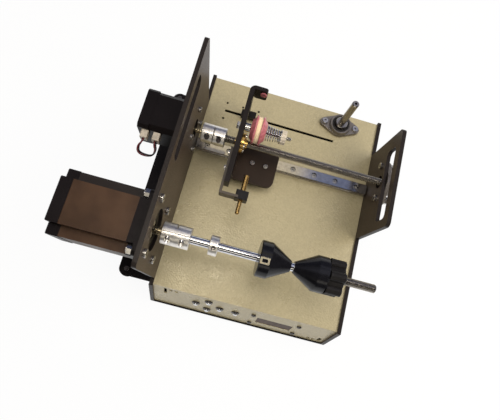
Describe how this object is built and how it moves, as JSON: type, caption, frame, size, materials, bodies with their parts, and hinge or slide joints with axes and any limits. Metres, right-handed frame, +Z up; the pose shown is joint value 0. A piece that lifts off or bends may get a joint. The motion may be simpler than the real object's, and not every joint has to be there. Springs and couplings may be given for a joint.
{
  "type": "wire coil winding machine",
  "caption": "Bench winder with a motor-driven spindle and clamping cones over a low control box, and a lead-screw traverse that feeds wire through a felt tensioner and nozzle.",
  "frame": {"origin": "centre of the footprint's bounding box, on the table", "axes": "+X along the winding spindle from its motor to its free end, +Y from the control panel to the back, +Z up"},
  "size_m": [0.298, 0.2716, 0.178],
  "materials": {
    "hammertone": "hammertone baked paint",
    "black_plate": "satin black coating",
    "black_plastic": "matt moulded plastic",
    "gloss_black": "polished black plastic",
    "rubber": "matt rubber",
    "bright_steel": "polished",
    "steel": "zinc plated",
    "dark_steel": "blackened",
    "aluminium": "turned",
    "brass": "turned",
    "board_green": "solder mask",
    "display": "dark display window",
    "white_plastic": "moulded nylon",
    "pink_ceramic": "glazed ceramic",
    "felt": "pressed felt",
    "wire_red": "soft wire insulation",
    "lamination": "lacquered laminations"
  },
  "bodies": {
    "base": {"cover": "hammertone", "base_plate": "black_plate", "left_plate": "black_plate", "right_plate": "black_plate", "corner_blocks": "aluminium", "box_screws": "dark_steel", "rubber_feet": "rubber", "button_bezels": "bright_steel", "button_bodies": "black_plastic", "lcd_module": "display", "standoffs": "dark_steel", "controller_board": "board_green", "power_inlet": "black_plastic", "limit_sensor": "black_plastic", "motor1_caps": "black_plate", "motor1_stack": "lamination", "motor2_caps": "black_plate", "motor2_stack": "lamination", "motor_bearings": "steel", "motor_bolts": "bright_steel", "motor2_sockets": "white_plastic", "motor2_lead": "wire_red", "guide_rail": "bright_steel", "rail_bolts": "steel", "flange_bearings": "steel"},
    "spindle": {"motor1_shaft": "steel", "spindle_coupling": "aluminium", "spindle_screws": "steel", "spindle_shaft": "bright_steel", "shaft_collar": "aluminium", "inner_cone": "gloss_black", "wire_catch": "aluminium"},
    "outer_cone_body": {"outer_cone": "gloss_black"},
    "knob_body": {"clamp_knob": "black_plastic"},
    "lead_screw_body": {"motor2_shaft": "steel", "screw_coupling": "aluminium", "coupling_screws": "dark_steel", "lead_screw": "steel"},
    "carriage": {"rail_block": "steel", "carriage_plate": "black_plate", "guide_bar": "black_plate", "screw_nut": "brass", "carriage_screws": "steel", "guide_arm": "black_plate", "nozzle_clamp": "black_plastic", "nozzle_tube": "brass", "eyelet": "pink_ceramic", "tension_stud": "steel", "limit_flag": "black_plastic", "tension_spring": "bright_steel"},
    "tension_wheel": {"tension_discs": "pink_ceramic", "tension_felt": "felt"},
    "tension_washer_body": {"tension_washer": "steel"},
    "tension_nut_body": {"tension_nut": "white_plastic"},
    "spool_rod_body": {"spool_rod": "bright_steel"},
    "button_left_body": {"button_left": "bright_steel"},
    "button_up_body": {"button_up": "bright_steel"},
    "button_down_body": {"button_down": "bright_steel"},
    "button_right_body": {"button_right": "bright_steel"},
    "button_enter_body": {"button_enter": "bright_steel"}
  },
  "joints": [
    {"name": "spindle_spin", "type": "hinge", "parent": "base", "child": "spindle", "pos_m": [-0.069, -0.07435, 0.1415], "axis": [1, 0, 0], "continuous": true},
    {"name": "outer_cone_slide", "type": "slide", "parent": "spindle", "child": "outer_cone_body", "axis": [1, 0, 0], "range_m": [-0.0025, 0.026]},
    {"name": "knob_turn", "type": "hinge", "parent": "outer_cone_body", "child": "knob_body", "pos_m": [-0.069, -0.07435, 0.1415], "axis": [1, 0, 0], "range_deg": [-721, 7489]},
    {"name": "lead_screw_spin", "type": "hinge", "parent": "base", "child": "lead_screw_body", "pos_m": [-0.069, 0.04385, 0.099], "axis": [1, 0, 0], "range_deg": [-4231, 271]},
    {"name": "carriage_slide", "type": "slide", "parent": "base", "child": "carriage", "axis": [1, 0, 0], "range_m": [-0.006, 0.094]},
    {"name": "tension_wheel_spin", "type": "hinge", "parent": "carriage", "child": "tension_wheel", "pos_m": [-0.069, 0.05475, 0.115], "axis": [1, 0, 0], "continuous": true},
    {"name": "tension_washer_slide", "type": "slide", "parent": "carriage", "child": "tension_washer_body", "axis": [1, 0, 0], "range_m": [-0.005, 0.003], "deforming": ["tension_spring"]},
    {"name": "tension_nut_turn", "type": "hinge", "parent": "tension_washer_body", "child": "tension_nut_body", "pos_m": [-0.069, 0.05475, 0.115], "axis": [1, 0, 0], "range_deg": [-2573, 1544]},
    {"name": "spool_rod_spin", "type": "hinge", "parent": "base", "child": "spool_rod_body", "pos_m": [0.087, 0.11515, 0.059], "axis": [0, 0, 1], "continuous": true},
    {"name": "button_left_press", "type": "slide", "parent": "base", "child": "button_left_body", "axis": [0, 0.9524, -0.3048], "range_m": [0, 0.0015], "stiffness_N_per_m": 150, "springref_m": -0.001},
    {"name": "button_up_press", "type": "slide", "parent": "base", "child": "button_up_body", "axis": [0, 0.9524, -0.3048], "range_m": [0, 0.0015], "stiffness_N_per_m": 150, "springref_m": -0.001},
    {"name": "button_down_press", "type": "slide", "parent": "base", "child": "button_down_body", "axis": [0, 0.9524, -0.3048], "range_m": [0, 0.0015], "stiffness_N_per_m": 150, "springref_m": -0.001},
    {"name": "button_right_press", "type": "slide", "parent": "base", "child": "button_right_body", "axis": [0, 0.9524, -0.3048], "range_m": [0, 0.0015], "stiffness_N_per_m": 150, "springref_m": -0.001},
    {"name": "button_enter_press", "type": "slide", "parent": "base", "child": "button_enter_body", "axis": [0, 0.9524, -0.3048], "range_m": [0, 0.0015], "stiffness_N_per_m": 150, "springref_m": -0.001}
  ],
  "couplings": [
    {"joint": "lead_screw_spin", "follows": "carriage_slide", "rad_per_m": -785.4},
    {"joint": "knob_turn", "follows": "outer_cone_slide", "rad_per_m": 5026.5},
    {"joint": "tension_nut_turn", "follows": "tension_washer_slide", "rad_per_m": 8976}
  ]
}
